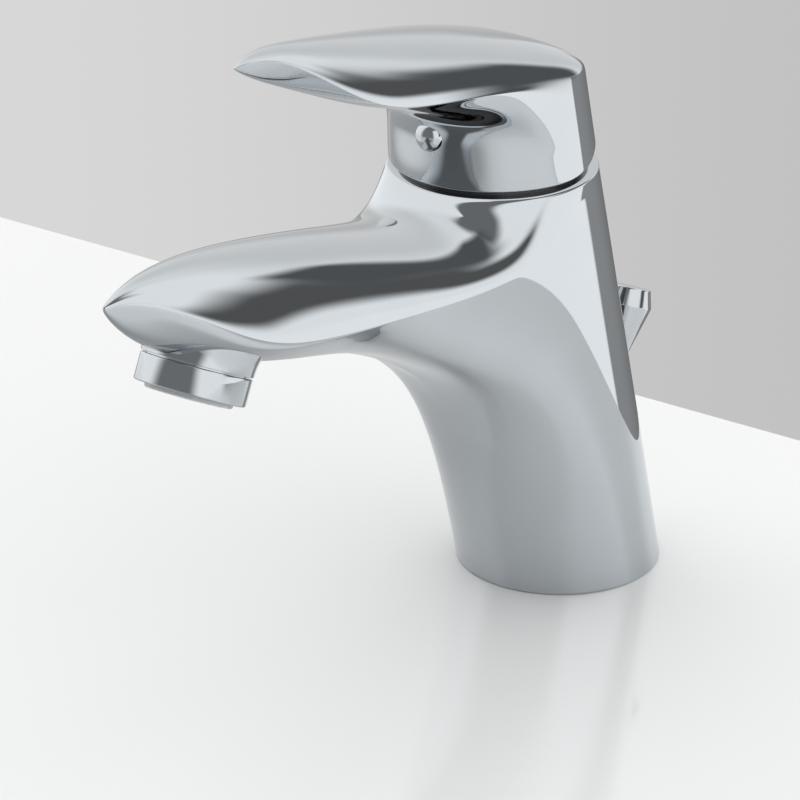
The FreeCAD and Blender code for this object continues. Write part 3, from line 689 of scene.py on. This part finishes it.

# soft-edged dark glowing sheet beside the part, out of the picture, seen only in reflections: a painted dark
# reflection band on the chrome
gm = bpy.data.meshes.new("flag")
gm.from_pydata([(-0.048, -0.04, 0), (0.048, -0.04, 0), (0.048, 0.04, 0), (-0.048, 0.04, 0)], [], [(0, 1, 2, 3)])
flag = bpy.data.objects.new("flag", gm)
scene.collection.objects.link(flag)
flag.location = (0.0372, -0.0080, 0.1570)
flag.rotation_euler = Vector((-0.897, -0.344, -0.277)).to_track_quat("Z", "Y").to_euler()
fmat = bpy.data.materials.new("flag_painted_reflection")
fmat.use_nodes = True
ft = fmat.node_tree
fb = ft.nodes["Principled BSDF"]
fb.inputs["Base Color"].default_value = (0.0, 0.0, 0.0, 1)
fb.inputs["Specular IOR Level"].default_value = 0.0
# the sheet's dim glow is a painted reflection: a dark band laid onto the polished neck and spout
fb.inputs["Emission Color"].default_value = (0.125, 0.128, 0.132, 1)
fb.inputs["Emission Strength"].default_value = 1.0
fc = ft.nodes.new("ShaderNodeTexCoord")
fx = ft.nodes.new("ShaderNodeSeparateXYZ")
ft.links.new(fc.outputs["Object"], fx.inputs[0])
fade = []
for k, lo, hi in ((0, 0.018, 0.046), (1, 0.017, 0.038)):
    ab = ft.nodes.new("ShaderNodeMath")
    ab.operation = "ABSOLUTE"
    ft.links.new(fx.outputs[k], ab.inputs[0])
    mr = ft.nodes.new("ShaderNodeMapRange")
    mr.interpolation_type = "SMOOTHSTEP"
    ft.links.new(ab.outputs[0], mr.inputs[0])
    mr.inputs[1].default_value = lo
    mr.inputs[2].default_value = hi
    mr.inputs[3].default_value = 1.0
    mr.inputs[4].default_value = 0.0
    fade.append(mr.outputs[0])
fp = ft.nodes.new("ShaderNodeMath")
fp.operation = "MULTIPLY"
ft.links.new(fade[0], fp.inputs[0])
ft.links.new(fade[1], fp.inputs[1])
ft.links.new(fp.outputs[0], fb.inputs["Alpha"])
gm.materials.append(fmat)
flag.visible_camera = False
flag.visible_diffuse = False
flag.visible_transmission = False
flag.visible_shadow = False
# glowing grey sheet lying on the deck to the left, soft towards the foot, one-sided, seen only in reflections:
# a painted dark reflection on the chrome
km = bpy.data.meshes.new("painted_reflection_card")
km.from_pydata([(0.0, -0.45, 0), (0.3, -0.45, 0), (0.3, 0.9, 0), (0.0, 0.9, 0)], [], [(0, 1, 2, 3)])
card = bpy.data.objects.new("painted_reflection_card", km)
scene.collection.objects.link(card)
card.location = (0.0, 0.0, 0.0008)
card.rotation_euler = (0.0, 0.0, radians(215.8))
kmat = bpy.data.materials.new("painted_reflection_card")
kmat.use_nodes = True
kt = kmat.node_tree
kb = kt.nodes["Principled BSDF"]
kb.inputs["Base Color"].default_value = (0.0, 0.0, 0.0, 1)
kb.inputs["Specular IOR Level"].default_value = 0.0
# the card's grey glow is a painted reflection: a stand-in for a shaded basin bowl that darkens the spout's
# underside and the column
kb.inputs["Emission Color"].default_value = (0.20, 0.205, 0.21, 1)
kb.inputs["Emission Strength"].default_value = 1.0
kc = kt.nodes.new("ShaderNodeTexCoord")
kx = kt.nodes.new("ShaderNodeSeparateXYZ")
kt.links.new(kc.outputs["Object"], kx.inputs[0])
kr = kt.nodes.new("ShaderNodeMapRange")
kr.interpolation_type = "SMOOTHSTEP"
kt.links.new(kx.outputs[0], kr.inputs[0])
kr.inputs[1].default_value = 0.0
kr.inputs[2].default_value = 0.09
kr.inputs[3].default_value = 0.0
kr.inputs[4].default_value = 0.62
kg = kt.nodes.new("ShaderNodeNewGeometry")
kf = kt.nodes.new("ShaderNodeMath")
kf.operation = "SUBTRACT"
kf.inputs[0].default_value = 1.0
kt.links.new(kg.outputs["Backfacing"], kf.inputs[1])
ka = kt.nodes.new("ShaderNodeMath")
ka.operation = "MULTIPLY"
kr2 = kt.nodes.new("ShaderNodeMapRange")
kr2.interpolation_type = "SMOOTHSTEP"
kt.links.new(kx.outputs[0], kr2.inputs[0])
kr2.inputs[1].default_value = 0.20
kr2.inputs[2].default_value = 0.28
kr2.inputs[3].default_value = 1.0
kr2.inputs[4].default_value = 0.0
ke = kt.nodes.new("ShaderNodeMath")
ke.operation = "MULTIPLY"
kt.links.new(kr.outputs[0], ke.inputs[0])
kt.links.new(kr2.outputs[0], ke.inputs[1])
kt.links.new(ke.outputs[0], ka.inputs[0])
kt.links.new(kf.outputs[0], ka.inputs[1])
kt.links.new(ka.outputs[0], kb.inputs["Alpha"])
km.materials.append(kmat)
card.visible_camera = False
card.visible_diffuse = False
card.visible_transmission = False
card.visible_shadow = False
scene.view_settings.view_transform = "Standard"

cam = bpy.data.cameras.new("camera")
cam.lens = 180.0
cam.sensor_width = 36.0
cam.clip_end = 50.0
cam_ob = bpy.data.objects.new("camera", cam)
scene.collection.objects.link(cam_ob)
R = Vector((0.811, 0.585, 0.0))
az, el = radians(35.79), radians(23.83)
Bv = Vector((sin(az) * cos(el), -cos(az) * cos(el), sin(el)))
Rv = Vector((cos(az), sin(az), 0))
Uv = Bv.cross(Rv)
cam_ob.matrix_world = Matrix(((Rv.x, Uv.x, Bv.x, 0.48618), (Rv.y, Uv.y, Bv.y, -0.74068), (Rv.z, Uv.z, Bv.z, 0.43124), (0, 0, 0, 1)))
scene.camera = cam_ob
